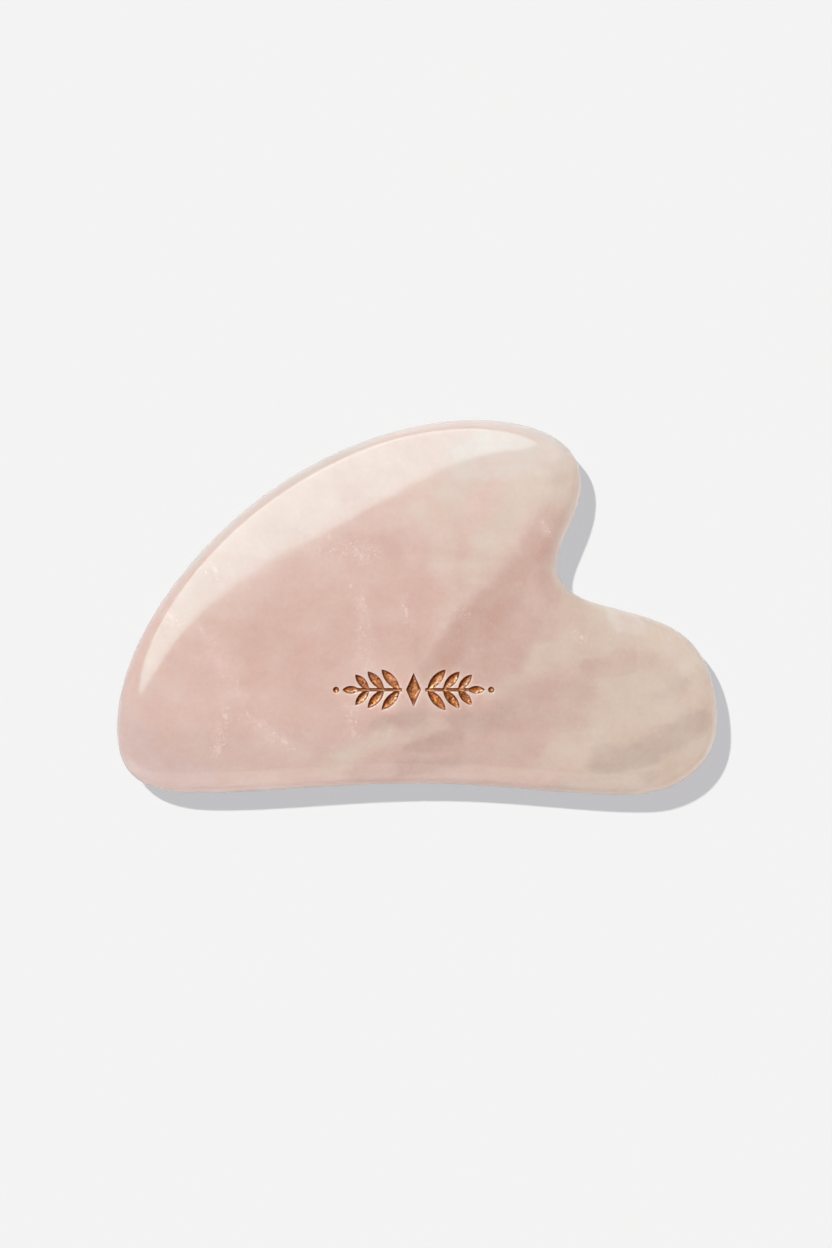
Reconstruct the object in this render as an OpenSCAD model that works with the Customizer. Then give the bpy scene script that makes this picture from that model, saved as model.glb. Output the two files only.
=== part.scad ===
// Gua sha scraper: a hand-held massage tool ground from one piece of rose quartz.
// It lies flat on its back face. +X runs from the tail to the lower lobe, +Y from
// the long working edge to the crown, +Z is up. The origin is under the middle of
// the outline's box, on the resting face. Millimetres.

/* [Body] */
// Length over the tail and the lower lobe
tool_l = 88; // [75:1:101]
// Width over the long edge and the crown
tool_w = 55; // [47:1:63]
// Thickness over the two flat faces
tool_t = 7; // [6:0.5:9]

/* [Edge] */
// Thickness of the edge where the bevel runs into the rounded nose
edge_t = 3.4; // [2.4:0.2:4.4]
// How far the rounded nose runs in from the outline
nose_w = 2; // [1:0.25:2.5]
// Width of the bevel all round, as a share of its full width
bevel_k = 1; // [0.75:0.05:1]

/* [Engraving] */
// Depth of the engraved cells below the front face
recess_d = 0.6; // [0.4:0.1:1]
// How far the paint in a cell stays below the front face
paint_gap = 0.25; // [0.1:0.05:0.35]
// Size of the ornament against its drawn size
ornament_k = 1; // [0.8:0.05:1.1]
// Middle of the ornament, left to right
ornament_x = -0.5; // [-3:0.5:3]
// Middle of the ornament, up from the middle of the width
ornament_y = -12; // [-12.5:0.5:-8]

/* [Hidden] */

// The outline as knots, clockwise from the tail. Each row is x, y, the direction of
// travel in degrees, the handle before the knot and the handle after it. Drawn at 88 by 55.
draw_l = 88;
draw_w = 55;
edge_knots = [
    [-44.0, -17.5,  90,  7.0, 10.5],   // tail, the leftmost point
    [-24.0,  15.3,  38, 14.5, 10.0],   // middle of the convex back
    [  8.5,  27.5,   0, 12.5, 10.0],   // crown, the highest point
    [ 24.1,  18.3, -92,  5.5,  5.0],   // side of the upper lobe
    [ 20.4,   6.0, -90,  3.5,  2.5],   // root of the notch
    [ 25.5,   0.8, -16,  2.5,  4.0],   // where the notch runs on to the lower lobe
    [ 36.0,  -2.3, -22,  4.0,  5.0],   // shoulder of the lower lobe
    [ 44.0, -16.5, -90,  8.0,  6.5],   // lower lobe, the rightmost point
    [ 31.0, -27.5, 180,  7.5, 10.0],   // heel of the lower lobe
    [  0.0, -25.8, 180, 12.0, 12.0],   // middle of the shallow hollow edge
    [-32.0, -27.2, 180, 10.0,  9.0],   // heel of the tail
];

// The flat face's own outline, one knot for each knot above. The bevel runs between them,
// widest along the convex back and narrowest in the notch.
face_knots = [
    [-35.0, -14.5,  78,  2.5,  8.0],
    [-15.0,   5.0,  36,  9.0, 11.0],
    [  9.5,  15.5,   5,  9.0,  3.5],
    [ 15.5,  12.0, -95,  2.5,  2.5],
    [ 15.0,   3.5, -75,  3.0,  2.5],
    [ 20.5,  -4.5, -35,  3.5,  3.5],
    [ 31.0,  -9.5, -32,  3.5,  3.0],
    [ 35.0, -15.5, -92,  2.5,  2.0],
    [ 29.5, -19.5, 180,  3.0, 10.0],
    [  0.0, -18.0, 180, 11.0, 11.0],
    [-31.0, -19.5, 180,  9.0,  2.8],
];

knot_steps = 40;     // points on each span before they are spaced evenly
ring_fine = 480;     // evenly spaced points that are smoothed
ring_step = 3;       // every third of them is a point of the mesh
nose_rings = 5;      // rings on the rounded nose, one side
bevel_rings = 6;     // rings on the bevel, one side
half_t = tool_t / 2;
nose_h = edge_t / 2;

function dir(a) = [cos(a), sin(a)];
function ease(t) = t * t * (3 - 2 * t);

// The point at share t of the span from knot a to knot b.
function span_point(a, b, t) =
    let (p0 = [a[0], a[1]], p3 = [b[0], b[1]],
         p1 = p0 + a[4] * dir(a[2]), p2 = p3 - b[3] * dir(b[2]))
    pow(1 - t, 3) * p0 + 3 * pow(1 - t, 2) * t * p1 + 3 * (1 - t) * t * t * p2 + pow(t, 3) * p3;

function traced(knots) =
    [for (i = [0 : len(knots) - 1]) for (k = [0 : knot_steps - 1])
        span_point(knots[i], knots[(i + 1) % len(knots)], k / knot_steps)];
function closed(p) = concat(p, [p[0]]);

// Both outlines at even steps along the tool's own outline.
edge_raw = closed(traced(edge_knots));
face_raw = closed(traced(face_knots));
run = [for (i = 0, s = 0; i < len(edge_raw);
            s = s + (i + 1 < len(edge_raw) ? norm(edge_raw[i + 1] - edge_raw[i]) : 0),
            i = i + 1) s];
whole = run[len(run) - 1];
function table(p, k) = [for (i = [0 : len(p) - 1]) [run[i], p[i][k]]];
function evened(p) =
    let (tx = table(p, 0), ty = table(p, 1))
    [for (i = [0 : ring_fine - 1]) let (s = whole * i / ring_fine) [lookup(s, tx), lookup(s, ty)]];

// Each pass averages every point with its neighbours, so the curvature runs on evenly.
function at(p, i) = p[(i + len(p)) % len(p)];
function smoothed(p, passes) = passes == 0 ? p
    : smoothed([for (i = [0 : len(p) - 1]) (at(p, i - 1) + 2 * at(p, i) + at(p, i + 1)) / 4],
               passes - 1);
edge_soft = smoothed(evened(edge_raw), 8);
face_soft = smoothed(evened(face_raw), 24);

// Fit the outline to the length and the width exactly, with its box's middle at the origin.
around = ring_fine / ring_step;
function on_mesh(k) = [for (i = [0 : around - 1]) edge_soft[i * ring_step][k]];
lo = [min(on_mesh(0)), min(on_mesh(1))];
hi = [max(on_mesh(0)), max(on_mesh(1))];
function fitted(p) = [(p[0] - (lo[0] + hi[0]) / 2) * tool_l / (hi[0] - lo[0]),
                      (p[1] - (lo[1] + hi[1]) / 2) * tool_w / (hi[1] - lo[1])];
outline = [for (p = edge_soft) fitted(p)];
flat = [for (i = [0 : ring_fine - 1])
            let (p = outline[i]) p + (fitted(face_soft[i]) - p) * bevel_k];

// Outward direction at point i of the outline, and the width of the bevel there.
function outward(i) =
    let (t = at(outline, i + 1) - at(outline, i - 1)) [-t[1], t[0]] / norm(t);
function bevel_w(i) = (outline[i] - flat[i]) * outward(i);

// Height above the middle plane, d in from the outline, where the bevel is b wide.
function height(d, b) =
    nose_h * sqrt(1 - pow(1 - min(d / nose_w, 1), 2.4))
    + (half_t - nose_h) * (1 - pow(1 - min(d / b, 1), 2.2));

// How far in each ring lies where the bevel is b wide, from the outline to the flat face.
function ring_depth(j, b) = j <= nose_rings
    ? nose_w * (1 - cos(90 * j / nose_rings))
    : nose_w + (b - nose_w) * (j - nose_rings) / bevel_rings;

rings = nose_rings + bevel_rings;

// The nose is set straight in from the outline. The bevel's rings ease over to the flat
// face's outline on their way in.
function ring_point(i, j, side) =
    let (k = i * ring_step, p = outline[k], n = outward(k), b = bevel_w(k),
         d = ring_depth(j, b), f = max(0, (j - nose_rings) / bevel_rings),
         q = p - n * d + (flat[k] - (p - n * b)) * ease(f),
         z = j == rings ? half_t : height(d, b))
    [q[0], q[1], half_t + side * z];

// Ring 0 is the outline itself. The front's rings come next, then the back's.
stone_points = concat(
    [for (i = [0 : around - 1]) ring_point(i, 0, 1)],
    [for (j = [1 : rings]) for (i = [0 : around - 1]) ring_point(i, j, 1)],
    [for (j = [1 : rings]) for (i = [0 : around - 1]) ring_point(i, j, -1)]);

function front(i, j) = j * around + (i + around) % around;
function back(i, j) = j == 0 ? (i + around) % around
                             : (rings + j) * around + (i + around) % around;

stone_faces = concat(
    [for (j = [0 : rings - 1]) for (i = [0 : around - 1])
        each [[front(i, j), front(i, j + 1), front(i + 1, j + 1)],
              [front(i, j), front(i + 1, j + 1), front(i + 1, j)]]],
    [for (j = [0 : rings - 1]) for (i = [0 : around - 1])
        each [[back(i, j), back(i + 1, j + 1), back(i, j + 1)],
              [back(i, j), back(i + 1, j), back(i + 1, j + 1)]]],
    [[for (i = [0 : around - 1]) front(i, rings)]],
    [[for (i = [0 : around - 1]) back(around - 1 - i, rings)]]);

// One leaf: two equal arcs that meet in points at the ends. Its base is at the origin.
module leaf(l, w) {
    r = (l * l + w * w) / (4 * w);
    translate([l / 2, 0]) intersection() {
        translate([0, r - w / 2]) circle(r = r, $fn = 96);
        translate([0, w / 2 - r]) circle(r = r, $fn = 96);
    }
}

// A sprig that grows to the right: a stem, three pairs of leaves and a leaf at its end.
sprig_pairs = [[0.3, 4.0, 1.4], [2.6, 3.6, 1.35], [4.8, 3.0, 1.2]]; // along, length, width
module sprig() {
    translate([0, -0.25]) square([6.8, 0.5]);
    for (p = sprig_pairs) for (s = [-1, 1])
        translate([p[0], 0]) rotate(s * 48) leaf(p[1], p[2]);
    translate([6.2, 0]) leaf(2.5, 1.15);
}

module lozenge() {
    polygon([[-1.1, 0], [0, 2.5], [1.1, 0], [0, -2.5]]);
}

module bead() {
    circle(r = 0.45, $fn = 48);
}

// The cells of the ornament, each in its own place on the front face.
module cell(name) {
    translate([ornament_x, ornament_y]) scale(ornament_k) {
        if (name == "left_bead") translate([-11.3, 0]) bead();
        if (name == "left_sprig") mirror([1, 0]) translate([1.7, 0]) sprig();
        if (name == "centre_lozenge") lozenge();
        if (name == "right_sprig") translate([1.7, 0]) sprig();
        if (name == "right_bead") translate([11.3, 0]) bead();
    }
}

module stone_body() {
    color("#DDBFB3") difference() {
        polyhedron(points = stone_points, faces = stone_faces, convexity = 6);
        for (name = ["left_bead", "left_sprig", "centre_lozenge", "right_sprig", "right_bead"])
            translate([0, 0, tool_t - recess_d]) linear_extrude(recess_d + 1) cell(name);
    }
}

// The metallic paint that fills one cell from its floor to just under the face.
module paint(name) {
    color("#B06A38") translate([0, 0, tool_t - recess_d])
        linear_extrude(recess_d - paint_gap) cell(name);
}

module paint_left_bead() { paint("left_bead"); }
module paint_left_sprig() { paint("left_sprig"); }
module paint_centre_lozenge() { paint("centre_lozenge"); }
module paint_right_sprig() { paint("right_sprig"); }
module paint_right_bead() { paint("right_bead"); }

stone_body();
paint_left_bead();
paint_left_sprig();
paint_centre_lozenge();
paint_right_sprig();
paint_right_bead();
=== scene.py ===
# Looks of a gua sha scraper: a flat, polished rose quartz stone with an engraved ornament
# that is filled with copper-coloured metallic paint. Lengths are worked out in millimetres
# and become metres where a mesh is made.
import math

import bpy
import numpy as np
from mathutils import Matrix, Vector
from mathutils.geometry import delaunay_2d_cdt


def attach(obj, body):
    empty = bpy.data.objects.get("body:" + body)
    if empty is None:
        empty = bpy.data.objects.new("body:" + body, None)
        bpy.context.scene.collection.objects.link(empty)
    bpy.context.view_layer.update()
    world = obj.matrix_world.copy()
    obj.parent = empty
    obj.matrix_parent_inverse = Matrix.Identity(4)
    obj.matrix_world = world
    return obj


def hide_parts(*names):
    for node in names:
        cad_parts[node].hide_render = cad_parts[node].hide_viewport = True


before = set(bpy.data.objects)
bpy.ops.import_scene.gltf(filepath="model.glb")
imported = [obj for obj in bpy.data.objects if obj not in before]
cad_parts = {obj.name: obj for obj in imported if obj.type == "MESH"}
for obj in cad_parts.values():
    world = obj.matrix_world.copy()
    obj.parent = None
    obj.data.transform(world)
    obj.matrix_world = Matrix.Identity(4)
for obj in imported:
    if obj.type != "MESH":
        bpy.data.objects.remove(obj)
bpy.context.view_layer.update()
MM = 0.001

# ---------------------------------------------------------------- the body's shape
LENGTH, WIDTH, THICK = 88.0, 55.0, 7.0
EDGE_T, NOSE_W = 3.4, 2.0
RECESS = 0.6

# x, y, direction, handle before, handle after, clockwise from the tail
EDGE_KNOTS = [
    (-44.0, -17.5, 90, 7.0, 10.5),
    (-24.0, 15.3, 38, 14.5, 10.0),
    (8.5, 27.5, 0, 12.5, 10.0),
    (24.1, 18.3, -92, 5.5, 5.0),
    (20.4, 6.0, -90, 3.5, 2.5),
    (25.5, 0.8, -16, 2.5, 4.0),
    (36.0, -2.3, -22, 4.0, 5.0),
    (44.0, -16.5, -90, 8.0, 6.5),
    (31.0, -27.5, 180, 7.5, 10.0),
    (0.0, -25.8, 180, 12.0, 12.0),
    (-32.0, -27.2, 180, 10.0, 9.0),
]
FACE_KNOTS = [
    (-35.0, -14.5, 78, 2.5, 8.0),
    (-15.0, 5.0, 36, 9.0, 11.0),
    (9.5, 15.5, 5, 9.0, 3.5),
    (15.5, 12.0, -95, 2.5, 2.5),
    (15.0, 3.5, -75, 3.0, 2.5),
    (20.5, -4.5, -35, 3.5, 3.5),
    (31.0, -9.5, -32, 3.5, 3.0),
    (35.0, -15.5, -92, 2.5, 2.0),
    (29.5, -19.5, 180, 3.0, 10.0),
    (0.0, -18.0, 180, 11.0, 11.0),
    (-31.0, -19.5, 180, 9.0, 2.8),
]
AROUND = 720
NOSE_RINGS, BEVEL_RINGS = 10, 20


def ease(t):
    return t * t * (3 - 2 * t)


def heading(a):
    return np.array([math.cos(math.radians(a)), math.sin(math.radians(a))])


def traced(knots, steps=400):
    t = np.arange(steps)[:, None] / steps
    spans = []
    for i, a in enumerate(knots):
        b = knots[(i + 1) % len(knots)]
        p0, p3 = np.array(a[:2]), np.array(b[:2])
        p1, p2 = p0 + a[4] * heading(a[2]), p3 - b[3] * heading(b[2])
        spans.append((1 - t) ** 3 * p0 + 3 * (1 - t) ** 2 * t * p1 + 3 * (1 - t) * t * t * p2 + t**3 * p3)
    return np.concatenate(spans)


def softened(points, sigma):
    """A closed row of points, smoothed by a Gaussian of sigma points."""
    f = np.fft.rfftfreq(len(points))[:, None]
    return np.fft.irfft(np.fft.rfft(points, axis=0) * np.exp(-2 * (math.pi * f * sigma) ** 2), n=len(points), axis=0)


def outlines(n):
    """The tool's outline, the flat face's outline, the outward normals and the bevel's width."""
    edge, face = traced(EDGE_KNOTS), traced(FACE_KNOTS)
    loop = np.vstack([edge, edge[:1]])
    inner = np.vstack([face, face[:1]])
    run = np.concatenate([[0], np.cumsum(np.hypot(*np.diff(loop, axis=0).T))])
    at = run[-1] * np.arange(n) / n
    edge = np.column_stack([np.interp(at, run, loop[:, k]) for k in (0, 1)])
    face = np.column_stack([np.interp(at, run, inner[:, k]) for k in (0, 1)])
    edge = softened(edge, 2.0 * n / 480)
    face = softened(face, 3.46 * n / 480)
    low, high = edge.min(0), edge.max(0)
    fit = np.array([LENGTH, WIDTH]) / (high - low)
    edge, face = (edge - (low + high) / 2) * fit, (face - (low + high) / 2) * fit
    along = np.roll(edge, -1, 0) - np.roll(edge, 1, 0)
    along /= np.linalg.norm(along, axis=1)[:, None]
    out = np.column_stack([-along[:, 1], along[:, 0]])
    return edge, face, out, np.sum((edge - face) * out, axis=1)


def height(d, b):
    """Above the middle plane, d in from the outline, where the bevel is b wide."""
    nose = EDGE_T / 2
    return nose * np.sqrt(np.maximum(0, 1 - (1 - np.minimum(d / NOSE_W, 1)) ** 2.4)) + (THICK / 2 - nose) * (
        1 - (1 - np.minimum(d / b, 1)) ** 2.2
    )


EDGE, FACE, OUT, BEVEL = outlines(AROUND)


def ring(j):
    if j <= NOSE_RINGS:
        d = np.full(AROUND, NOSE_W * (1 - math.cos(math.pi / 2 * j / NOSE_RINGS)))
        f = 0.0
    else:
        f = (j - NOSE_RINGS) / BEVEL_RINGS
        d = NOSE_W + (BEVEL - NOSE_W) * f
    p = EDGE - OUT * d[:, None] + (FACE - (EDGE - OUT * BEVEL[:, None])) * ease(f)
    z = height(d, BEVEL) if j < NOSE_RINGS + BEVEL_RINGS else np.full(AROUND, THICK / 2)
    return p, z


# ---------------------------------------------------------------- the ornament
ORN = np.array([-0.5, -12.0])
LEAVES = [(0.3, 4.0, 1.4, 48), (0.3, 4.0, 1.4, -48), (2.6, 3.6, 1.35, 48), (2.6, 3.6, 1.35, -48),
          (4.8, 3.0, 1.2, 48), (4.8, 3.0, 1.2, -48), (6.2, 2.5, 1.15, 0)]


def joined(a, b, k):
    """The distance to two shapes together, with a small fillet where they meet."""
    h = np.maximum(k - np.abs(a - b), 0) / k
    return np.minimum(a, b) - h * h * k / 4


def leaf(x, y, at, l, w, turn):
    c, s = math.cos(math.radians(turn)), math.sin(math.radians(turn))
    u, v = (x - at) * c + y * s, -(x - at) * s + y * c
    r = (l * l + w * w) / (4 * w)
    a, b = np.hypot(u - l / 2, v - (r - w / 2)), np.hypot(u - l / 2, v + (r - w / 2))
    return -joined(-a, -b, 0.08) - r


def sprig(x, y):
    x = x - 1.7
    qx, qy = np.abs(x - 3.4) - 3.4, np.abs(y) - 0.25
    d = np.hypot(np.maximum(qx, 0), np.maximum(qy, 0)) + np.minimum(np.maximum(qx, qy), 0)
    for part in LEAVES:
        d = joined(d, leaf(x, y, *part), 0.16)
    return d


def lozenge(x, y):
    ax, ay = np.abs(x), np.abs(y)
    return (ax * 2.5 + ay * 1.1 - 1.1 * 2.5) / math.hypot(1.1, 2.5)


def bead(x, y):
    return np.hypot(x - 11.3, y) - 0.45


# name, distance function, its box in the ornament's own frame
CELLS = {
    "left_bead": (lambda x, y: bead(-x, y), (-12.1, -10.5, -0.8, 0.8)),
    "left_sprig": (lambda x, y: sprig(-x, y), (-10.75, -1.3, -3.6, 3.6)),
    "centre_lozenge": (lozenge, (-1.6, 1.6, -3.0, 3.0)),
    "right_sprig": (sprig, (1.3, 10.75, -3.6, 3.6)),
    "right_bead": (bead, (10.5, 12.1, -0.8, 0.8)),
}


def ornament(x, y):
    """How far a point of the front face is from the nearest cell's wall, negative inside."""
    u, v = x - ORN[0], y - ORN[1]
    return np.minimum.reduce([f(u, v) for f, _ in CELLS.values()])


def contour(f, box, level, grid=0.025, step=0.05):
    """The closed lines where f is level, with points step apart."""
    xs = np.arange(box[0], box[1] + grid, grid)
    ys = np.arange(box[2], box[3] + grid, grid)
    v = f(xs[None, :], ys[:, None]) - level + 1e-9
    inside = v < 0
    spots, ways = {}, {}

    def spot(key):
        if key not in spots:
            kind, i, j = key
            a = v[i, j]
            b = v[i, j + 1] if kind == 0 else v[i + 1, j]
            t = a / (a - b)
            spots[key] = (xs[j] + (grid * t if kind == 0 else 0), ys[i] + (grid * t if kind else 0))
        return key

    mixed = inside[:-1, :-1] + 2 * inside[:-1, 1:] + 4 * inside[1:, 1:] + 8 * inside[1:, :-1]
    for i, j in zip(*np.nonzero((mixed > 0) & (mixed < 15))):
        i, j = int(i), int(j)
        s, e, n, w = (0, i, j), (1, i, j + 1), (0, i + 1, j), (1, i, j)
        c = int(mixed[i, j])
        if c == 5 or c == 10:
            filled = v[i : i + 2, j : j + 2].mean() < 0
            if c == 5:
                pairs = [(s, e), (n, w)] if filled else [(s, w), (e, n)]
            else:
                pairs = [(s, w), (e, n)] if filled else [(s, e), (n, w)]
        else:
            cut = [k for k, a, b in ((s, 0, 1), (e, 1, 2), (n, 2, 3), (w, 3, 0)) if ((c >> a) & 1) != ((c >> b) & 1)]
            pairs = [(cut[0], cut[1])]
        for a, b in pairs:
            ways.setdefault(spot(a), []).append(b)
            ways.setdefault(spot(b), []).append(a)
    loops, left = [], set(ways)
    while left:
        start = min(left)
        chain, here, before = [start], start, None
        left.discard(start)
        while True:
            ahead = [k for k in ways[here] if k != before and (k in left or k == start and len(chain) > 2)]
            if not ahead or ahead[0] == start:
                break
            before, here = here, ahead[0]
            left.discard(here)
            chain.append(here)
        p = np.array([spots[k] for k in chain])
        if len(p) < 8:
            continue
        for _ in range(2):
            p = (np.roll(p, 1, 0) + 2 * p + np.roll(p, -1, 0)) / 4
        q = np.vstack([p, p[:1]])
        run = np.concatenate([[0], np.cumsum(np.hypot(*np.diff(q, axis=0).T))])
        n = max(12, int(round(run[-1] / step)))
        at = run[-1] * np.arange(n) / n
        loops.append(np.column_stack([np.interp(at, run, q[:, k]) for k in (0, 1)]))
    return loops


def triangulated(points, loops):
    """Triangles over points, with every loop of point numbers as edges."""
    edges = [(a, b) for l in loops for a, b in zip(l, l[1:] + l[:1])]
    verts, _, faces, origin, _, _ = delaunay_2d_cdt([Vector(p) for p in points], edges, [], 0, 1e-6)
    name = [o[0] if o else -1 for o in origin]
    if len(verts) != len(points) or -1 in name:
        print("triangulated: points were merged or added", len(points), len(verts))
    return np.array([[name[k] for k in f] for f in faces if len(f) == 3 and -1 not in [name[k] for k in f]])


def in_loop(p, loop):
    a, b = loop, np.roll(loop, -1, 0)
    hits = np.zeros(len(p), int)
    for (x0, y0), (x1, y1) in zip(a, b):
        if y0 == y1:
            continue
        cross = ((y0 > p[:, 1]) != (y1 > p[:, 1])) & (p[:, 0] < (x1 - x0) * (p[:, 1] - y0) / (y1 - y0) + x0)
        hits += cross
    return hits % 2 == 1


def upward(points, tris):
    a, b, c = points[tris[:, 0]], points[tris[:, 1]], points[tris[:, 2]]
    area = (b[:, 0] - a[:, 0]) * (c[:, 1] - a[:, 1]) - (b[:, 1] - a[:, 1]) * (c[:, 0] - a[:, 0])
    tris = tris[np.abs(area) > 1e-9]
    area = area[np.abs(area) > 1e-9]
    return np.where(area[:, None] > 0, tris, tris[:, ::-1])


def new_mesh(name, verts, faces):
    mesh = bpy.data.meshes.new(name)
    mesh.from_pydata([tuple(v) for v in np.asarray(verts) * MM], [], [tuple(int(k) for k in f) for f in faces])
    mesh.validate()
    mesh.polygons.foreach_set("use_smooth", [True] * len(mesh.polygons))
    mesh.update()
    piece = bpy.data.objects.new(name, mesh)
    bpy.context.scene.collection.objects.link(piece)
    return piece


# the engraved walls, softened where they meet the face: distance from the wall, height
RIM = [(0.13, 0.0), (0.07, -0.012), (0.03, -0.035), (0.0, -0.075)]
rim_loops = {}
for cell, (f, box) in CELLS.items():
    rim_loops[cell] = [[l + ORN for l in contour(f, box, level)] for level, _ in RIM]


def stone_mesh():
    rings = NOSE_RINGS + BEVEL_RINGS
    verts, faces = [], []
    for j in range(rings + 1):
        p, z = ring(j)
        verts.append(np.column_stack([p, THICK / 2 + z]))
    for j in range(1, rings + 1):
        p, z = ring(j)
        verts.append(np.column_stack([p, THICK / 2 - z]))
    verts = list(np.concatenate(verts))

    def front(i, j):
        return j * AROUND + i % AROUND

    def back(i, j):
        return (i % AROUND) if j == 0 else (rings + j) * AROUND + i % AROUND

    for j in range(rings):
        for i in range(AROUND):
            faces.append((front(i, j), front(i, j + 1), front(i + 1, j + 1), front(i + 1, j)))
            faces.append((back(i, j), back(i + 1, j), back(i + 1, j + 1), back(i, j + 1)))

    flat = ring(rings)[0]
    gx, gy = np.meshgrid(np.arange(-36, 36, 1.1), np.arange(-20, 16, 1.1))
    gx[1::2] += 0.55
    fill = np.column_stack([gx.ravel(), gy.ravel()])
    fill = fill[in_loop(fill, flat)]
    gap = np.array([np.min(np.hypot(*(flat - p).T)) for p in fill])
    fill = fill[gap > 0.5]

    # the front face, around the engraved cells
    points, levels, loops, number = [*flat], [0.0] * AROUND, [list(range(AROUND))], [front(i, rings) for i in range(AROUND)]
    wall = []
    for cell in CELLS:
        for (level, z), lines in zip(RIM, rim_loops[cell]):
            for line in lines:
                first = len(points)
                points += list(line)
                levels += [z] * len(line)
                number += [len(verts) + k for k in range(len(line))]
                verts += [np.array([*p, THICK + z]) for p in line]
                loops.append(list(range(first, first + len(line))))
                if level == 0.0:
                    wall.append([number[k] for k in loops[-1]])
    for p in fill[ornament(fill[:, 0], fill[:, 1]) > 0.4]:
        points.append(p)
        number.append(len(verts))
        verts.append(np.array([*p, THICK]))
    points = np.array(points)
    tris = triangulated(points, loops)
    mid = points[tris].mean(1)
    keep = in_loop(mid, flat) & (ornament(mid[:, 0], mid[:, 1]) > -0.05)
    for cell in CELLS:
        for line in rim_loops[cell][-1]:
            keep &= ~in_loop(mid, line)
    tris = upward(points, tris[keep])
    faces += [tuple(number[k] for k in t) for t in tris]

    # the cells' walls and floors
    for line in wall:
        low = [len(verts) + k for k in range(len(line))]
        xy = np.array([verts[k][:2] for k in line])
        verts += [np.array([*p, THICK - RECESS]) for p in xy]
        turn = np.sum(xy[:, 0] * np.roll(xy[:, 1], -1) - np.roll(xy[:, 0], -1) * xy[:, 1])
        n = len(line)
        for k in range(n):
            q = (line[k], line[(k + 1) % n], low[(k + 1) % n], low[k])
            faces.append(q if turn > 0 else q[::-1])
        floor_tris = triangulated(xy, [list(range(n))])
        m = xy[floor_tris].mean(1)
        floor_tris = upward(xy, floor_tris[in_loop(m, xy)])
        faces += [tuple(low[k] for k in t) for t in floor_tris]

    # the back face
    points, number = [*flat], [back(i, rings) for i in range(AROUND)]
    for p in fill:
        points.append(p)
        number.append(len(verts))
        verts.append(np.array([*p, 0.0]))
    points = np.array(points)
    tris = triangulated(points, [list(range(AROUND))])
    tris = upward(points, tris[in_loop(points[tris].mean(1), flat)])
    faces += [tuple(number[k] for k in t)[::-1] for t in tris]
    return verts, faces


def trough(d):
    """How deep the paint lies below the face, d in from the cell's wall."""
    return -0.085 - 0.40 * (1 - np.exp(-np.maximum(d, 0) / 0.19))


def paint_mesh(cell):
    f, box = CELLS[cell]
    verts, faces = [], []
    for line in rim_loops[cell][-1]:
        p = line - ORN
        e = 0.01
        grad = np.column_stack([f(p[:, 0] + e, p[:, 1]) - f(p[:, 0] - e, p[:, 1]), f(p[:, 0], p[:, 1] + e) - f(p[:, 0], p[:, 1] - e)])
        grad /= np.linalg.norm(grad, axis=1)[:, None] + 1e-9
        p = p - grad * 0.006
        n = len(p)
        lo, hi = p.min(0), p.max(0)
        gx, gy = np.meshgrid(np.arange(lo[0], hi[0], 0.06), np.arange(lo[1], hi[1], 0.06))
        gx[1::2] += 0.03
        fill = np.column_stack([gx.ravel(), gy.ravel()])
        fill = fill[f(fill[:, 0], fill[:, 1]) < -0.035]
        points = np.vstack([p, fill])
        tris = triangulated(points, [list(range(n))])
        tris = upward(points, tris[in_loop(points[tris].mean(1), p)])
        base = len(verts)
        d = -f(points[:, 0], points[:, 1])
        d[:n] = 0
        u = points + ORN
        verts += list(np.column_stack([u, THICK + trough(d)]))
        faces += [tuple(base + k for k in t) for t in tris]
        low = len(verts)
        verts += list(np.column_stack([u[:n], np.full(n, THICK - RECESS + 0.006)]))
        turn = np.sum(p[:, 0] * np.roll(p[:, 1], -1) - np.roll(p[:, 0], -1) * p[:, 1])
        for k in range(n):
            q = (base + k, base + (k + 1) % n, low + (k + 1) % n, low + k)
            faces.append(q[::-1] if turn > 0 else q)
        under = triangulated(p, [list(range(n))])
        under = upward(p, under[in_loop(p[under].mean(1), p)])
        faces += [tuple(low + k for k in t)[::-1] for t in under]
    return verts, faces


stone = new_mesh("quartz_stone", *stone_mesh())
paints = {cell: new_mesh("paint_fill_" + cell, *paint_mesh(cell)) for cell in CELLS}


# ---------------------------------------------------------------- materials
# colours, as linear light
PINK = (0.684, 0.486, 0.426)
PINK_PALE = (0.736, 0.568, 0.508)
PINK_DEEP = (0.655, 0.454, 0.396)
PINK_LOW = (0.652, 0.486, 0.432)
TAN = (0.634, 0.458, 0.400)
BROWN = (0.588, 0.396, 0.336)
DUSK = (0.542, 0.388, 0.334)
UMBER = (0.603, 0.450, 0.386)
GREY = (0.552, 0.434, 0.372)
SAND = (0.655, 0.535, 0.452)
SAND_PALE = (0.668, 0.562, 0.494)
CREAM = (0.702, 0.598, 0.514)
MILK = (0.730, 0.648, 0.594)
MAUVE = (0.638, 0.490, 0.468)
WISP = (0.790, 0.625, 0.575)
FLECK = (0.860, 0.710, 0.655)
# painted light and shade on the rounded edge: the edge and rim tints below
EDGE_PAINTED_LIGHT = (0.740, 0.655, 0.605)
EDGE_TAIL = (0.550, 0.555, 0.555)
EDGE_COOL = (0.630, 0.620, 0.615)
RIM_TAIL = (0.590, 0.458, 0.440)
RIM_BACK = (0.590, 0.560, 0.552)
RIM_CROWN = (0.725, 0.672, 0.662)
EDGE_SIDE = (0.700, 0.600, 0.535)
EDGE_PAINTED_SHADE = (0.500, 0.380, 0.318)
COPPER_DARK = (0.165, 0.032, 0.005)
COPPER_MID = (0.660, 0.176, 0.036)
COPPER_LIGHT = (0.900, 0.420, 0.260)


def new_material(name):
    m = bpy.data.materials.new(name)
    m.use_nodes = True
    m.node_tree.nodes.clear()
    return m


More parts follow.
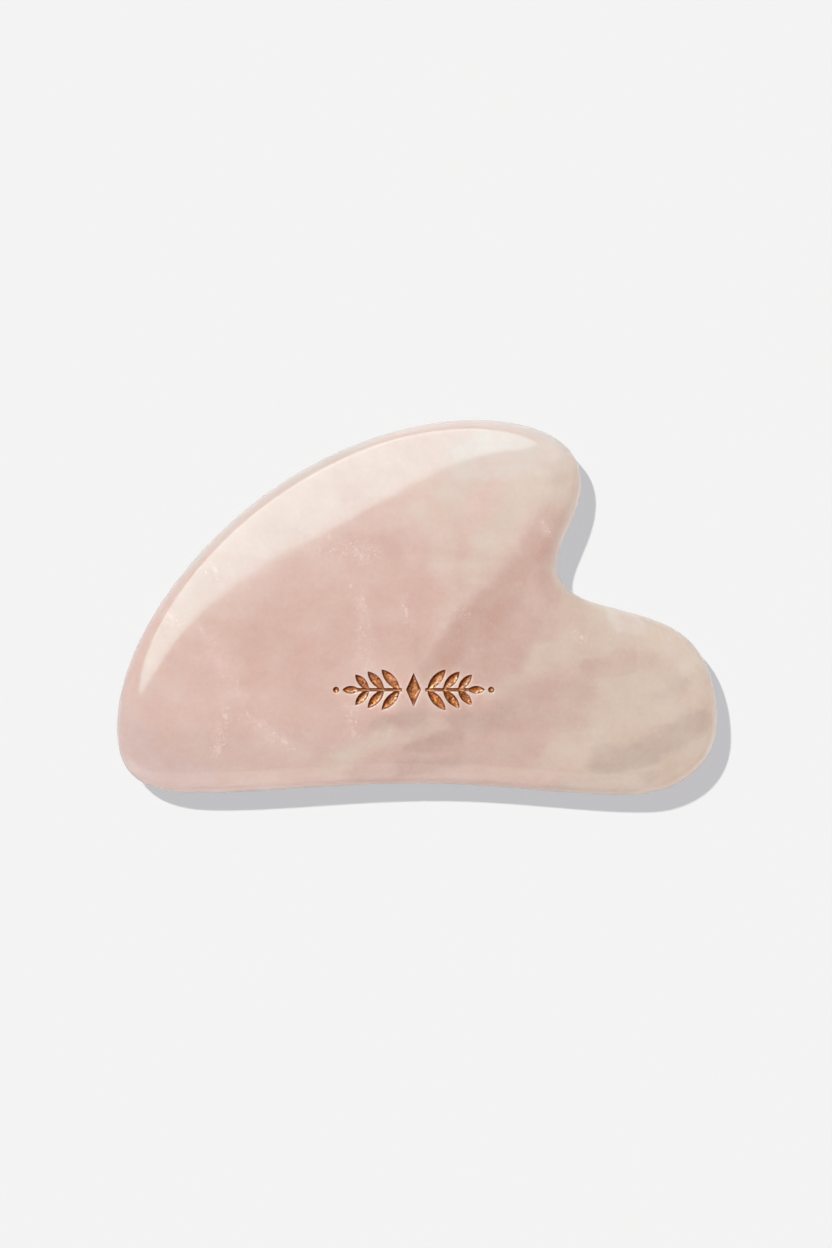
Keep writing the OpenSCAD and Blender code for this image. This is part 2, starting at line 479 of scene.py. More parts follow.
class Tree:
    """Short names for the shader nodes that the materials below are made of."""

    def __init__(self, tree):
        self.t = tree

    def node(self, kind, inputs=(), **settings):
        n = self.t.nodes.new(kind)
        for k, v in settings.items():
            setattr(n, k, v)
        for key, value in dict(inputs).items():
            socket = n.inputs[key]
            if isinstance(value, bpy.types.NodeSocket):
                self.t.links.new(value, socket)
            else:
                socket.default_value = value
        return n

    def math(self, op, a, b=0.0, c=0.0, clamp=False):
        return self.node("ShaderNodeMath", {0: a, 1: b, 2: c}, operation=op, use_clamp=clamp).outputs[0]

    def vec(self, op, a, b=(0, 0, 0)):
        return self.node("ShaderNodeVectorMath", {0: a, 1: b}, operation=op).outputs[0]

    def scaled(self, a, k):
        return self.node("ShaderNodeVectorMath", {0: a, "Scale": k}, operation="SCALE").outputs[0]

    def smooth(self, x, low, high, out_low=0.0, out_high=1.0):
        return self.node(
            "ShaderNodeMapRange", {0: x, 1: low, 2: high, 3: out_low, 4: out_high}, interpolation_type="SMOOTHSTEP", clamp=False
        ).outputs[0]

    def linear(self, x, low, high, out_low=0.0, out_high=1.0):
        return self.node("ShaderNodeMapRange", {0: x, 1: low, 2: high, 3: out_low, 4: out_high}).outputs[0]

    def noise(self, p, scale, detail=2.0, rough=0.5, colour=False, distort=0.0):
        n = self.node("ShaderNodeTexNoise", {"Vector": p, "Scale": scale, "Detail": detail, "Roughness": rough, "Distortion": distort})
        return n.outputs["Color" if colour else "Fac"]

    def mix(self, f, a, b):
        n = self.node("ShaderNodeMix", data_type="RGBA")
        for i, v in ((0, f), (6, a), (7, b)):
            if isinstance(v, bpy.types.NodeSocket):
                self.t.links.new(v, n.inputs[i])
            else:
                n.inputs[i].default_value = v if i == 0 else (*v, 1.0)
        return n.outputs[2]


def band_group():
    """Mask of a soft-edged band in plan, along the line from A by Run. It is Wide across at A and
    Wide + Wider at the other end, full inside Core of that, and tapers off at its ends. The mask is
    the stronger of this band's and Other."""
    g = bpy.data.node_groups.new("soft_band", "ShaderNodeTree")
    for name, kind in (("P", "Vector"), ("Other", "Float"), ("A", "Vector"), ("Run", "Vector"), ("Unit", "Vector"),
                       ("Wide", "Float"), ("Wider", "Float"), ("Core", "Float"), ("Strength", "Float")):
        g.interface.new_socket(name=name, in_out="INPUT", socket_type="NodeSocket" + kind)
    g.interface.new_socket(name="Mask", in_out="OUTPUT", socket_type="NodeSocketFloat")
    t = Tree(g)
    i, o = g.nodes.new("NodeGroupInput"), g.nodes.new("NodeGroupOutput")
    pa = t.vec("SUBTRACT", i.outputs["P"], i.outputs["A"])
    along = t.node("ShaderNodeVectorMath", {0: pa, 1: i.outputs["Unit"]}, operation="DOT_PRODUCT").outputs["Value"]
    h = t.math("MINIMUM", t.math("MAXIMUM", along, 0.0), 1.0)
    nearest = t.scaled(i.outputs["Run"], h)
    far = t.node("ShaderNodeVectorMath", {0: pa, 1: nearest}, operation="DISTANCE").outputs["Value"]
    wide = t.math("MULTIPLY_ADD", h, i.outputs["Wider"], i.outputs["Wide"])
    m = t.smooth(t.math("DIVIDE", far, wide), 1.0, i.outputs["Core"], 0.0, i.outputs["Strength"])
    g.links.new(t.math("MAXIMUM", m, i.outputs["Other"]), o.inputs["Mask"])
    return g


BAND = band_group()


def bands(t, p, rows):
    """The strongest of several bands, each (from, to, width there, width here, strength, core)."""
    top = None
    for a, b, wide_a, wide_b, strength, core in rows:
        n = t.node("ShaderNodeGroup", {}, node_tree=BAND)
        t.t.links.new(p, n.inputs["P"])
        if top is None:
            n.inputs["Other"].default_value = 0.0
        else:
            t.t.links.new(top, n.inputs["Other"])
        run = (b[0] - a[0], b[1] - a[1])
        long = run[0] ** 2 + run[1] ** 2
        n.inputs["A"].default_value = (*a, 0)
        n.inputs["Run"].default_value = (*run, 0)
        n.inputs["Unit"].default_value = (run[0] / long, run[1] / long, 0)
        n.inputs["Wide"].default_value = wide_a
        n.inputs["Wider"].default_value = wide_b - wide_a
        n.inputs["Core"].default_value = core
        n.inputs["Strength"].default_value = strength
        top = n.outputs["Mask"]
    return top


# The stone's own pattern, in millimetres from the middle of the outline's box, seen from the front.
# Milky planes fan out from the long edge towards both lobes, with darker clear quartz between.
# Each group is laid over the ones before it: colour, then (from, to, width there, width here,
# strength, core) for each band.
LAYERS = [
    (PINK_DEEP, [
        ((-9, 9), (-3, 8), 3.5, 4.0, 0.8, 0.1),
        ((-2, 10), (1, 9), 3.0, 3.0, 0.5, 0.1),
        ((-12, -3), (-2, -5), 4.5, 4.5, 0.5, 0.1),
        ((-17, -13), (-11, -15), 5.0, 4.0, 0.9, 0.1),
        ((-24, -3), (-18, -7), 3.5, 4.0, 0.5, 0.1),
        ((-34, -8), (-31, -12), 3.0, 3.0, 0.3, 0.1),
        ((-35, -12), (-33, -15), 2.4, 2.4, 0.35, 0.1),
        ((-14, -8), (-13.5, -14), 2.6, 2.6, 0.45, 0.1),
        ((-7, -5.5), (-5, -6.5), 2.4, 2.4, 0.5, 0.1),
    ]),
    (PINK_PALE, [
        ((-30, 0), (-22, 5), 4.0, 4.5, 0.5, 0.1),
        ((-39, -12), (-27, -13), 4.0, 3.0, 0.4, 0.1),
        ((-20, -6), (-11, 1), 2.5, 2.5, 0.25, 0.1),
        ((-31, -2.5), (-26, -9.5), 2.4, 2.4, 0.5, 0.1),
        ((-20, 0), (-16, 3), 2.6, 2.6, 0.3, 0.1),
    ]),
    (CREAM, [
        ((3.5, -3), (8, 5), 2.4, 4.2, 0.6, 0.1),
        ((8, 5), (12.5, 12), 4.2, 4.0, 0.9, 0.15),
        ((12.5, 12), (16.5, 19), 4.0, 5.0, 0.9, 0.2),
        ((4.5, 5), (4.5, 16), 3.5, 5.0, 0.6, 0.1),
        ((29, -3.0), (36, -5.5), 4.0, 4.5, 0.75, 0.15),
        ((37, -5.5), (40, -9), 4.0, 3.0, 0.65, 0.15),
        ((41, -13), (40, -15), 2.4, 2.0, 0.4, 0.1),
        ((1, 14), (8, 19), 3.0, 4.5, 0.6, 0.1),
    ]),
    (BROWN, [
        ((2.5, -9), (9, -2.5), 3.4, 4.4, 1.0, 0.3),
        ((9, -2.5), (13, 1.5), 4.4, 4.2, 1.0, 0.3),
        ((13, 2), (17.5, 8.5), 3.8, 3.2, 0.7, 0.2),
        ((8, -8), (15, -7), 4.0, 3.5, 0.55, 0.2),
        ((18.5, 4.5), (21, 1.5), 2.0, 2.4, 0.7, 0.2),
        ((0, -5.5), (1.5, -9), 2.2, 2.6, 0.55, 0.1),
    ]),
    (DUSK, [
        ((-0.5, -20.8), (6, -18.8), 2.0, 2.2, 0.9, 0.25),
        ((6, -16.5), (14, -15.8), 2.6, 2.8, 0.75, 0.2),
        ((-6, -16.5), (1, -16.5), 2.0, 2.2, 0.7, 0.2),
        ((-2, -24.3), (6, -22.8), 2.2, 2.2, 0.85, 0.2),
        ((-9, -25), (-4, -24.8), 2.0, 2.2, 0.5, 0.1),
    ]),
    (UMBER, [
        ((15, -16), (25, -16.8), 2.6, 2.4, 0.95, 0.2),
        ((8, -21.5), (17, -20.4), 2.4, 2.6, 0.8, 0.2),
        ((15, -13.4), (25, -11.8), 2.2, 2.8, 0.9, 0.25),
        ((24, -13.6), (28.5, -14), 1.6, 1.6, 0.6, 0.1),
        ((25, -9.2), (31, -7.4), 1.6, 2.4, 1.0, 0.55),
        ((31, -7), (34, -7.8), 2.2, 1.8, 0.6, 0.1),
        ((19.5, 10.8), (22, 12.2), 2.0, 2.0, 0.8, 0.2),
        ((29, -9.8), (31, -12), 2.0, 2.0, 0.45, 0.1),
        ((6, -25.5), (20, -26.5), 2.4, 2.4, 0.4, 0.1),
    ]),
    (SAND, [
        ((11, -13.2), (19, -8.8), 1.5, 2.4, 0.75, 0.1),
        ((17, -8.0), (30, -3.4), 3.0, 3.8, 1.0, 0.15),
        ((17, -24.5), (25, -18.5), 2.2, 3.2, 0.85, 0.15),
        ((25, -18), (34, -12.5), 3.0, 3.6, 0.9, 0.15),
        ((-13, -23), (-5, -19), 3.0, 2.4, 0.9, 0.15),
        ((-4, -19.8), (4, -17), 1.5, 1.4, 0.55, 0.1),
        ((17, 1), (18.5, -4), 1.6, 2.0, 0.3, 0.1),
        ((12, -24.5), (27, -24.5), 2.0, 2.0, 0.35, 0.1),
        ((5.5, 3), (7, 3), 1.6, 1.6, 0.25, 0.1),
        ((9.5, 0), (14, 3.5), 1.6, 1.6, 0.3, 0.1),
    ]),
    (GREY, [
        ((27.5, -23), (34, -21), 3.0, 3.3, 1.0, 0.3),
        ((34, -21), (41.5, -17), 3.3, 2.8, 1.0, 0.25),
        ((35.5, -13), (39.5, -11), 1.8, 1.9, 0.35, 0.1),
        ((20.8, 18), (22.6, 18.8), 1.6, 1.6, 0.35, 0.1),
        ((22, -26.5), (34, -26.0), 2.6, 2.8, 0.65, 0.25),
    ]),
    (MILK, [
        ((8, 21), (20, 22.5), 5.0, 4.6, 0.95, 0.25),
        ((30.2, -2.7), (33.0, -2.8), 2.3, 2.6, 0.95, 0.3),
        ((37.5, -7), (39, -9), 2.2, 2.2, 0.3, 0.1),
        ((18.5, 21.0), (23, 20.5), 2.8, 2.8, 0.6, 0.15),
        ((21.5, 24), (24.3, 19.5), 1.0, 1.0, 0.3, 0.2),
        ((37.5, -3), (43.8, -9.5), 1.2, 1.2, 0.4, 0.2),
        ((20.6, 7), (23, 2.2), 0.8, 0.8, 0.25, 0.2),
        ((5, 17), (8, 20), 3.0, 3.5, 0.4, 0.1),
    ]),
    (MAUVE, [
        ((-43, -16), (-39, -23), 3.5, 4.5, 0.8, 0.2),
        ((-39, -23), (-31, -25), 3.5, 3.0, 0.6, 0.2),
        ((-39, -11), (-37, -13), 2.5, 2.5, 0.3, 0.1),
        ((-43, -12), (-38, -15.5), 2.6, 2.6, 0.35, 0.1),
    ]),
]
# where small cracks and inclusions gather: place, reach, strength
SPECKLED = [
    ((-15.5, 9.5), (-6.5, 8.0), 2.6, 2.6, 1.0, 0.2),
    ((-8.0, 2.0), (-7.5, -9.0), 1.6, 2.2, 0.8, 0.2),
    ((-10.0, -15.0), (-9.0, -18.0), 1.8, 1.8, 1.0, 0.2),
    ((-31.0, -3.0), (-26.0, -13.0), 1.8, 1.6, 0.6, 0.2),
    ((-28.0, -15.5), (-29.0, -20.8), 1.5, 1.8, 1.0, 0.2),
    ((-25.0, -16.0), (-19.0, -20.0), 1.6, 1.6, 0.9, 0.2),
    ((-29.5, 5.5), (-28.0, 4.8), 2.2, 2.2, 1.0, 0.2),
    ((-36.0, -1.5), (-35.0, -2.2), 2.0, 2.0, 1.0, 0.2),
    ((18.6, 11.4), (19.6, 10.8), 1.6, 1.6, 1.0, 0.2),
    ((23.6, -4.0), (24.2, -4.6), 1.2, 1.2, 1.0, 0.2),
    ((5.4, -0.6), (7.4, -0.8), 1.2, 1.2, 0.7, 0.2),
    ((-2.0, 1.0), (-1.0, -2.0), 1.6, 1.6, 0.6, 0.2),
]

# fine healed cracks and single inclusions
VEINS = [
    ((-31.5, -3.6), (-28.9, -8.4), 0.6, 0.8, 0.19, 0.1),
    ((-28.9, -8.4), (-26.4, -11.0), 0.8, 0.6, 0.21, 0.1),
    ((-26.4, -11.0), (-25.2, -15.0), 0.6, 0.5, 0.16, 0.1),
    ((-25.2, -15.0), (-23.0, -17.2), 0.5, 0.5, 0.19, 0.1),
    ((-35.9, -20.9), (-34.0, -24.6), 0.6, 0.6, 0.10, 0.1),
    ((-7.8, 1.4), (-8.2, -3.0), 0.4, 0.6, 0.10, 0.1),
    ((-8.2, -3.0), (-8.9, -7.3), 0.6, 0.6, 0.16, 0.1),
    ((-9.1, -15.3), (-10.6, -18.3), 0.6, 0.8, 0.26, 0.1),
    ((-10.6, -18.3), (-12.5, -20.5), 0.8, 0.5, 0.15, 0.1),
    ((-30.5, 5.9), (-28.0, 4.6), 0.9, 0.8, 0.14, 0.1),
    ((-36.0, -1.2), (-34.6, -2.4), 1.0, 0.8, 0.14, 0.1),
    ((18.4, 12.2), (19.3, 10.6), 0.6, 0.5, 0.22, 0.1),
]
DOTS = [
    ((-27.9, -15.7), (-27.8, -16.1), 0.42, 0.40, 0.45, 0.2),
    ((-28.9, -20.5), (-28.8, -21.0), 0.60, 0.55, 0.32, 0.2),
    ((-27.6, -14.6), (-27.5, -14.7), 0.30, 0.30, 0.34, 0.2),
    ((-23.0, -17.1), (-22.8, -17.3), 0.42, 0.36, 0.38, 0.2),
    ((-19.5, -19.5), (-19.0, -19.7), 0.50, 0.45, 0.41, 0.2),
    ((-17.9, -20.6), (-17.8, -20.7), 0.30, 0.30, 0.34, 0.2),
    ((-9.7, 3.2), (-9.6, 3.0), 0.36, 0.30, 0.45, 0.2),
    ((-7.9, 1.3), (-7.8, 1.1), 0.36, 0.30, 0.34, 0.2),
    ((-1.6, -0.2), (-1.5, -1.3), 0.32, 0.26, 0.41, 0.2),
    ((-28.8, 5.3), (-28.6, 4.8), 0.45, 0.40, 0.34, 0.2),
    ((-35.3, -1.7), (-35.0, -2.0), 0.45, 0.40, 0.32, 0.2),
    ((-12.8, 10.2), (-12.7, 10.0), 0.40, 0.34, 0.34, 0.2),
    ((-8.2, 7.5), (-8.0, 7.3), 0.36, 0.34, 0.38, 0.2),
    ((24.0, -4.4), (24.1, -4.5), 0.36, 0.30, 0.45, 0.2),
]


def quartz():
    m = new_material("rose_quartz")
    t = Tree(m.node_tree)
    place = t.node("ShaderNodeTexCoord").outputs["Object"]
    p = t.scaled(place, 1000.0)

    # the planes lean as they go down through the stone
    xyz = t.node("ShaderNodeSeparateXYZ", {0: p})
    down = t.math("SUBTRACT", 7.0, xyz.outputs["Z"])
    lean = t.node("ShaderNodeCombineXYZ", {0: t.math("MULTIPLY", down, 0.8), 1: t.math("MULTIPLY", down, -0.5), 2: 0.0}).outputs[0]
    q = t.vec("ADD", p, lean)
    flat = t.vec("MULTIPLY", q, (1, 1, 0))

    # the edges of the bands wander
    w1 = t.vec("SUBTRACT", t.noise(q, 0.10, 2.0, 0.5, colour=True), (0.5, 0.5, 0.5))
    w2 = t.vec("SUBTRACT", t.noise(q, 0.42, 3.0, 0.55, colour=True), (0.5, 0.5, 0.5))
    bent = t.vec("ADD", flat, t.vec("ADD", t.scaled(w1, 3.0), t.scaled(w2, 2.4)))
    bent = t.vec("MULTIPLY", bent, (1, 1, 0))

    # streaks that run with the fan of planes
    turned = t.node("ShaderNodeMapping", {"Vector": q, "Rotation": (0, 0, math.radians(-32)), "Scale": (0.16, 0.9, 0.5)}).outputs[0]
    streak = t.noise(turned, 0.55, 3.0, 0.55)
    mottle = t.noise(q, 0.22, 4.0, 0.6)
    grain = t.noise(q, 1.6, 3.0, 0.6)

    # the ground: pale towards the convex back, darker and browner right of a line up the stone
    bx = t.node("ShaderNodeSeparateXYZ", {0: bent})
    x, y = bx.outputs["X"], bx.outputs["Y"]
    up = t.math("ADD", t.math("MULTIPLY", x, -0.2), t.math("MULTIPLY", y, 0.98))
    colour = t.mix(t.linear(up, 3.0, 15.0), PINK, PINK_PALE)
    colour = t.mix(t.math("MULTIPLY", t.smooth(x, -29.0, -35.0), 0.3), colour, PINK_PALE)
    colour = t.mix(t.math("MULTIPLY", t.smooth(y, -15.0, -20.0), 0.9), colour, PINK_LOW)
    line = t.math("SUBTRACT", t.math("MULTIPLY", t.math("SUBTRACT", x, 2.0), 0.812), t.math("MULTIPLY", t.math("ADD", y, 7.0), 0.5835))
    below = t.smooth(y, 18.0, 13.0)
    colour = t.mix(t.math("MULTIPLY", t.smooth(line, -1.2, 1.6), below), colour, TAN)
    colour = t.mix(t.math("MULTIPLY", t.smooth(line, -3.0, 0.0), t.smooth(y, 12.0, 17.0)), colour, SAND_PALE)
    colour = t.mix(t.smooth(x, 16.0, 28.0), colour, SAND)

    def textured(mask):
        return t.math("MULTIPLY", mask, t.linear(streak, 0.3, 0.7, 0.62, 1.04), clamp=True)

    for tint, rows in LAYERS:
        colour = t.mix(textured(bands(t, bent, rows)), colour, tint)

    # soft clouds all through, and a finer grain
    cloud = t.math("ADD", t.linear(mottle, 0.3, 0.7, -0.033, 0.033), t.linear(grain, 0.3, 0.7, -0.012, 0.012))
    cloud = t.math("ADD", cloud, t.linear(streak, 0.3, 0.7, -0.010, 0.010))
    colour = t.node("ShaderNodeVectorMath", {0: colour, 1: t.node("ShaderNodeCombineXYZ", {0: t.math("MULTIPLY", cloud, 0.6), 1: cloud, 2: cloud}).outputs[0]}, operation="ADD").outputs[0]

    # wisps: thin healed cracks, and bright flecks where they gather
    near = bands(t, t.vec("MULTIPLY", t.vec("ADD", flat, t.scaled(w2, 1.6)), (1, 1, 0)), SPECKLED)
    ridge = t.math("ABSOLUTE", t.math("SUBTRACT", t.noise(q, 0.55, 3.0, 0.6, distort=0.6), 0.5))
    haze = t.math("MULTIPLY", near, t.linear(mottle, 0.35, 0.65, 0.0, 0.3))
    colour = t.mix(haze, colour, WISP)
    wisp = t.math("MULTIPLY", t.smooth(ridge, 0.035, 0.0), t.linear(near, 0.0, 1.0, 0.10, 0.55))
    colour = t.mix(wisp, colour, WISP)
    wavy = t.vec("ADD", flat, t.scaled(w2, 2.2))
    vein = t.math("MULTIPLY", bands(t, t.vec("MULTIPLY", wavy, (1, 1, 0)), VEINS), t.linear(grain, 0.35, 0.6, 0.35, 1.0))
    colour = t.mix(vein, colour, WISP)
    colour = t.mix(bands(t, flat, DOTS), colour, FLECK)
    cells = t.node("ShaderNodeTexVoronoi", {"Vector": t.vec("ADD", q, t.scaled(w2, 1.0)), "Scale": 1.5, "Randomness": 1.0})
    pick = t.node("ShaderNodeSeparateColor", {0: cells.outputs["Color"]})
    size = t.linear(pick.outputs[0], 0.0, 1.0, 0.10, 0.34)
    fleck = t.smooth(t.math("DIVIDE", cells.outputs["Distance"], size), 1.0, 0.4)
    chosen = t.math("GREATER_THAN", t.math("ADD", near, t.math("MULTIPLY", pick.outputs[1], 0.75)), 0.74)
    fleck = t.math("MULTIPLY", t.math("MULTIPLY", fleck, chosen), t.linear(near, 0.0, 1.0, 0.22, 0.7))
    colour = t.mix(fleck, colour, FLECK)

    # the rounded edge's tint is painted light and shade: paler, grey along the convex back and warmer
    # on the lobes as painted light through the thin edge and painted reflection off it, and darker along
    # the long edge as painted shade. It is painted in, so it stays when the lamps move
    x, y, z = xyz.outputs["X"], xyz.outputs["Y"], xyz.outputs["Z"]
    side = t.math("ABSOLUTE", t.math("SUBTRACT", z, 3.5))
    back = t.math("ADD", t.math("MULTIPLY", x, -0.55), t.math("MULTIPLY", y, 0.83))
    upper = t.smooth(back, 4.0, 12.0)
    along = t.smooth(x, -40.0, -31.0)
    cool = t.mix(along, RIM_TAIL, RIM_BACK)
    cool = t.mix(t.smooth(x, -14.0, 0.0), cool, RIM_CROWN)
    line = t.mix(upper, EDGE_SIDE, t.mix(along, EDGE_TAIL, EDGE_COOL))
    low = t.smooth(y, -20.0, -24.5)
    # painted shade: the outermost rim darkens towards the long edge
    line = t.mix(low, line, EDGE_PAINTED_SHADE)
    colour = t.mix(t.math("MULTIPLY", t.smooth(side, 2.3, 0.6), t.linear(low, 0.0, 1.0, 0.3, 0.05)), colour, EDGE_PAINTED_LIGHT)
    colour = t.mix(t.math("MULTIPLY", t.math("MULTIPLY", t.smooth(side, 2.2, 1.6), 0.6), upper), colour, cool)
    glow = t.math("MULTIPLY", t.smooth(side, 1.95, 1.6), t.smooth(side, 0.9, 1.2))
    colour = t.mix(t.math("MULTIPLY", glow, t.math("MULTIPLY", low, t.smooth(x, -8.0, -24.0, 0.0, 0.35))), colour, EDGE_PAINTED_LIGHT)
    colour = t.mix(t.math("MULTIPLY", t.smooth(side, 1.3, 0.4), 0.6), colour, line)
    # painted shade along the rounded side of the long edge
    long_edge_shade = t.math("MULTIPLY", t.smooth(y, -22.0, -25.0), t.smooth(x, -30.0, -24.0))
    colour = t.mix(t.math("MULTIPLY", t.smooth(side, 1.6, 0.9, 0.0, 0.28), long_edge_shade), colour, EDGE_PAINTED_SHADE)

    # the polish is a little less even over the grain, and duller where a crack or a fleck comes out
    polish = t.linear(grain, 0.3, 0.7, 0.080, 0.100)
    polish = t.math("ADD", polish, t.math("MULTIPLY", fleck, 0.16))

    shader = t.node("ShaderNodeBsdfPrincipled", {"Base Color": colour, "Roughness": polish})
    t.node("ShaderNodeOutputMaterial", {"Surface": shader.outputs[0]})
    shader.inputs["IOR"].default_value = 1.54
    shader.inputs["Subsurface Weight"].default_value = 1.0
    shader.inputs["Subsurface Radius"].default_value = (1.0, 0.8, 0.75)
    shader.inputs["Subsurface Scale"].default_value = 0.0025
    return m


def copper_paint():
    m = new_material("copper_paint")
    t = Tree(m.node_tree)
    p = t.scaled(t.node("ShaderNodeTexCoord").outputs["Object"], 1000.0)
    # flakes: each lies at its own small tilt and has its own tone; the paint is darker where it
    # climbs the cell's wall, as painted shade along the cell's edge
    flakes = t.node("ShaderNodeTexVoronoi", {"Vector": p, "Scale": 3.6, "Randomness": 1.0})
    tone = t.node("ShaderNodeSeparateColor", {0: flakes.outputs["Color"]})
    lumps = t.noise(p, 1.4, 3.0, 0.6)
    colour = t.mix(t.linear(lumps, 0.36, 0.64, 0.0, 1.0), COPPER_DARK, COPPER_MID)
    bright = t.math("POWER", tone.outputs[0], 3.0)
    colour = t.mix(t.math("MULTIPLY", bright, 0.9), colour, COPPER_LIGHT)
    # painted shade: darker near the top of the cell's wall
    high = t.smooth(t.node("ShaderNodeSeparateXYZ", {0: p}).outputs["Z"], 6.60, 6.82)
    colour = t.mix(t.math("MULTIPLY", high, 0.6), colour, COPPER_DARK)
    # painted shade: the fill's slopes are darker to the lower right and lighter to the upper left
    slope = t.node("ShaderNodeVectorMath", {0: t.node("ShaderNodeNewGeometry").outputs["Normal"], 1: (0.62, -0.74, 0.0)}, operation="DOT_PRODUCT").outputs["Value"]
    colour = t.mix(t.smooth(slope, 0.10, 0.55, 0.0, 0.75), colour, COPPER_DARK)
    colour = t.mix(t.smooth(slope, -0.10, -0.45, 0.0, 0.35), colour, COPPER_LIGHT)
    tilt = t.scaled(t.vec("SUBTRACT", flakes.outputs["Color"], (0.5, 0.5, 0.5)), 0.5)
    facing = t.node("ShaderNodeVectorMath", {0: t.vec("ADD", t.node("ShaderNodeNewGeometry").outputs["Normal"], tilt)}, operation="NORMALIZE").outputs[0]
    shader = t.node("ShaderNodeBsdfPrincipled")
    t.t.links.new(colour, shader.inputs["Base Color"])
    t.t.links.new(facing, shader.inputs["Normal"])
    t.t.links.new(t.linear(tone.outputs[1], 0.0, 1.0, 0.32, 0.5), shader.inputs["Roughness"])
    shader.inputs["Metallic"].default_value = 0.92
    t.node("ShaderNodeOutputMaterial", {"Surface": shader.outputs[0]})
    return m


stone.data.materials.append(quartz())
stone.visible_diffuse = False
paint_look = copper_paint()
for piece in paints.values():
    piece.data.materials.append(paint_look)
    piece.visible_diffuse = False
    piece.visible_shadow = False

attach(stone, "root")
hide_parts("stone_body")
for cell, piece in paints.items():
    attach(piece, "root")
    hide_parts("paint_" + cell)


# ---------------------------------------------------------------- floor, light and camera
def plain(name, colour, roughness):
    m = new_material(name)
    t = Tree(m.node_tree)
    shader = t.node("ShaderNodeBsdfPrincipled")
    shader.inputs["Base Color"].default_value = (*colour, 1)
    shader.inputs["Roughness"].default_value = roughness
    shader.inputs["Specular IOR Level"].default_value = 0.0
    out = t.node("ShaderNodeOutputMaterial", {"Surface": shader.outputs[0]})
    return m


def sheet_of(name, corners, z):
    mesh = bpy.data.meshes.new(name)
    mesh.from_pydata([(x, y, z) for x, y in corners], [], [tuple(range(len(corners)))])
    mesh.update()
    o = bpy.data.objects.new(name, mesh)
    bpy.context.scene.collection.objects.link(o)
    return o


floor = sheet_of("floor", [(-4, -4), (4, -4), (4, 4), (-4, 4)], 0.0)
floor.data.materials.append(plain("floor_white", (0.80, 0.80, 0.80), 1.0))

scene = bpy.context.scene
scene.view_settings.view_transform = "Standard"
scene.view_settings.look = "None"

world = bpy.data.worlds.new("studio")
scene.world = world
world.use_nodes = True
world.node_tree.nodes["Background"].inputs["Color"].default_value = (1.0, 0.98, 1.012, 1)
world.node_tree.nodes["Background"].inputs["Strength"].default_value = 0.515

key = bpy.data.lights.new("key", "SUN")
key.energy = 1.9
key.color = (1.0, 1.03, 0.98)
key.angle = math.radians(2.2)
key_lamp = bpy.data.objects.new("key", key)
scene.collection.objects.link(key_lamp)
key_lamp.visible_glossy = False
key_lamp.rotation_euler = Vector((-0.425, 0.485, 0.73)).to_track_quat("Z", "Y").to_euler()

# a low fill from the other side, which casts no shadow
fill = bpy.data.lights.new("fill", "SUN")
fill.energy = 1.12
fill.angle = math.radians(20)
fill.use_shadow = False
fill_lamp = bpy.data.objects.new("fill", fill)
scene.collection.objects.link(fill_lamp)
fill_lamp.visible_glossy = False
fill_lamp.rotation_euler = Vector((0.597, -0.682, 0.423)).to_track_quat("Z", "Y").to_euler()

# a large softbox, up and to the left of the back, that shows as a long highlight on the bevel.
# Its corners are set so that the highlight has its shape from straight above; from other sides
# the highlight's ends lie elsewhere
SOFTBOX = [(-0.53, 0.10), (-0.48, 0.128), (-0.41, 0.15), (-0.34, 0.172), (-0.27, 0.172), (-0.205, 0.156),
           (-0.145, 0.138), (-0.10, 0.121), (-0.078, 0.118), (-0.064, 0.135), (-0.05, 0.17), (-0.034, 0.212),
           (-0.014, 0.275), (0.026, 0.332), (0.062, 0.365), (0.115, 0.405), (0.175, 0.445), (0.250, 0.50),
           (0.205, 0.63), (0.155, 0.86), (0.062, 1.12), (-0.028, 1.30), (-0.155, 1.36), (-0.32, 1.45),
           (-0.45, 1.45), (-0.57, 1.28), (-0.62, 1.02), (-0.64, 0.83), (-0.70, 0.74), (-0.80, 0.67),
           (-0.83, 0.62), (-0.84, 0.53), (-0.82, 0.42), (-0.73, 0.31), (-0.645, 0.22), (-0.62, 0.15),
           (-0.60, 0.11)]
softbox = sheet_of("softbox", SOFTBOX, 0.8)
glow = new_material("softbox_cloth")
gt = Tree(glow.node_tree)
at = gt.node("ShaderNodeTexCoord").outputs["Object"]
far = gt.node("ShaderNodeVectorMath", {0: at, 1: (-0.085, 0.125, 0.0)}, operation="DISTANCE").outputs["Value"]
across = gt.node("ShaderNodeSeparateXYZ", {0: at}).outputs["X"]
fall = gt.math("MULTIPLY", gt.linear(far, 0.0, 1.6, 2.9, 7.0), gt.linear(across, -0.8, -0.4, 0.86, 1.08))
fall = gt.math("MULTIPLY", fall, gt.linear(across, -0.4, 0.2, 1.0, 0.72))
fall = gt.math("MULTIPLY", fall, gt.linear(far, 0.0, 0.5, 0.85, 1.0))
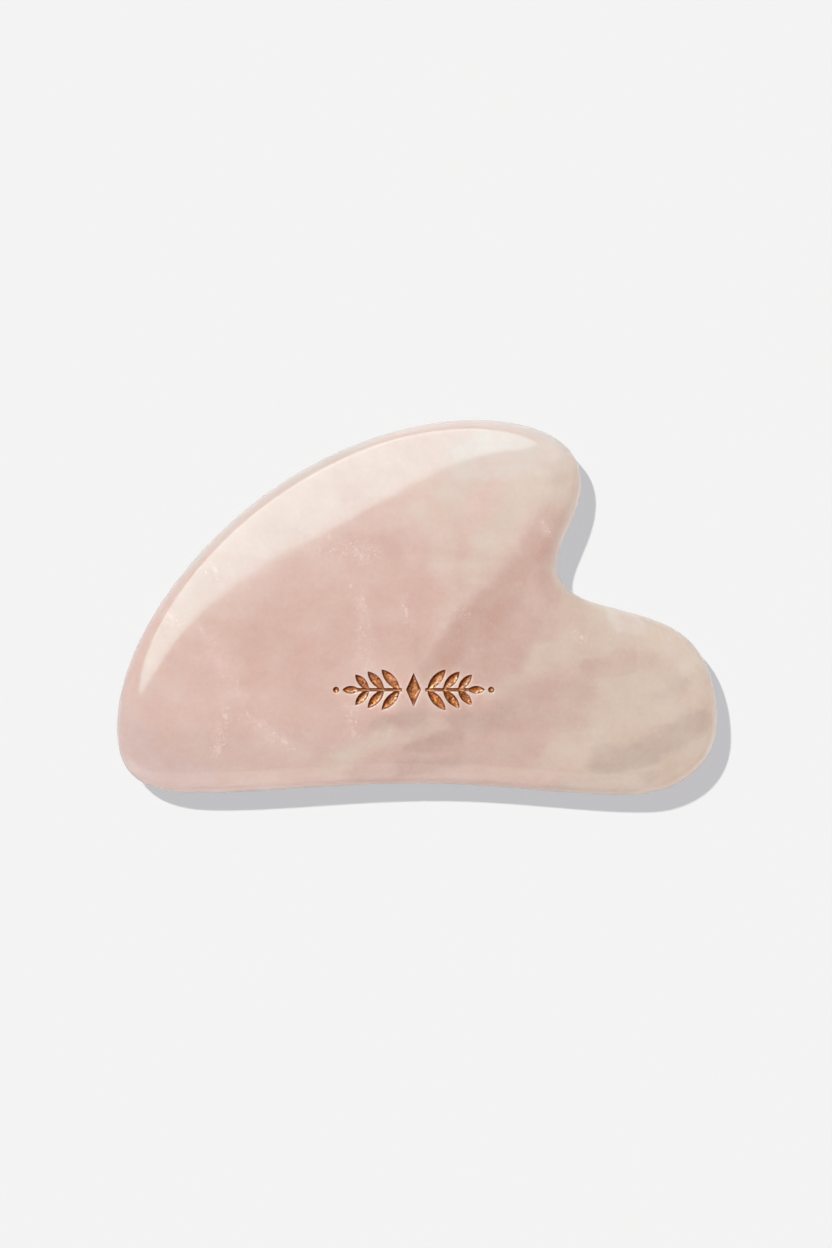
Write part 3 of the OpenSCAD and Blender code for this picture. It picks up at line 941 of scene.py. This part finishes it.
worn = gt.node("ShaderNodeVectorMath", {0: at, 1: (0.02, 0.31, 0.0)}, operation="DISTANCE").outputs["Value"]
fall = gt.math("MULTIPLY", fall, gt.linear(worn, 0.0, 0.16, 0.68, 1.0))
tint = gt.mix(gt.linear(across, -0.4, 0.0), (0.64, 1.0, 0.99), (0.62, 1.0, 1.06))
light = gt.node("ShaderNodeEmission", {"Color": tint, "Strength": fall})
gt.node("ShaderNodeOutputMaterial", {"Surface": light.outputs[0]})
softbox.data.materials.append(glow)
# a pale wall in front, that only shows as a lighter band along the near edge
wall = bpy.data.meshes.new("wall")
wall.from_pydata([(-3, -1.2, 0.02), (0.35, -1.2, 0.02), (0.35, -1.2, 1.8), (-3, -1.2, 1.8)], [], [(0, 1, 2, 3)])
wall.update()
wall = bpy.data.objects.new("wall", wall)
scene.collection.objects.link(wall)
dark = bpy.data.meshes.new("dark_card")
dark.from_pydata([(0.35, -1.15, 0.0), (1.5, 0.1, 0.0), (1.5, 0.1, 1.6), (0.35, -1.15, 1.6)], [], [(0, 1, 2, 3)])
dark.update()
dark = bpy.data.objects.new("dark_card", dark)
scene.collection.objects.link(dark)
dark.data.materials.append(plain("card_black", (0.01, 0.01, 0.01), 1.0))
pale = new_material("wall_paint")
pt = Tree(pale.node_tree)
pt.node("ShaderNodeOutputMaterial", {"Surface": pt.node("ShaderNodeEmission", {"Color": (1, 1, 1, 1), "Strength": 1.55}).outputs[0]})
wall.data.materials.append(pale)
for card in (softbox, wall, dark):
    card.visible_camera = False
    card.visible_diffuse = False
    card.visible_transmission = False
    card.visible_volume_scatter = False
    card.visible_shadow = False

camera = bpy.data.cameras.new("camera")
camera.lens = 100.0
camera.sensor_width = 36.0
camera.clip_end = 50.0
eye = bpy.data.objects.new("camera", camera)
scene.collection.objects.link(eye)
scene.camera = eye
SPAN = 1248 / (600 / LENGTH)
eye.location = (-0.147 * MM, -2.42 * MM, (3.5 + camera.lens / 36.0 * SPAN) * MM)
eye.rotation_euler = (0, 0, 0)
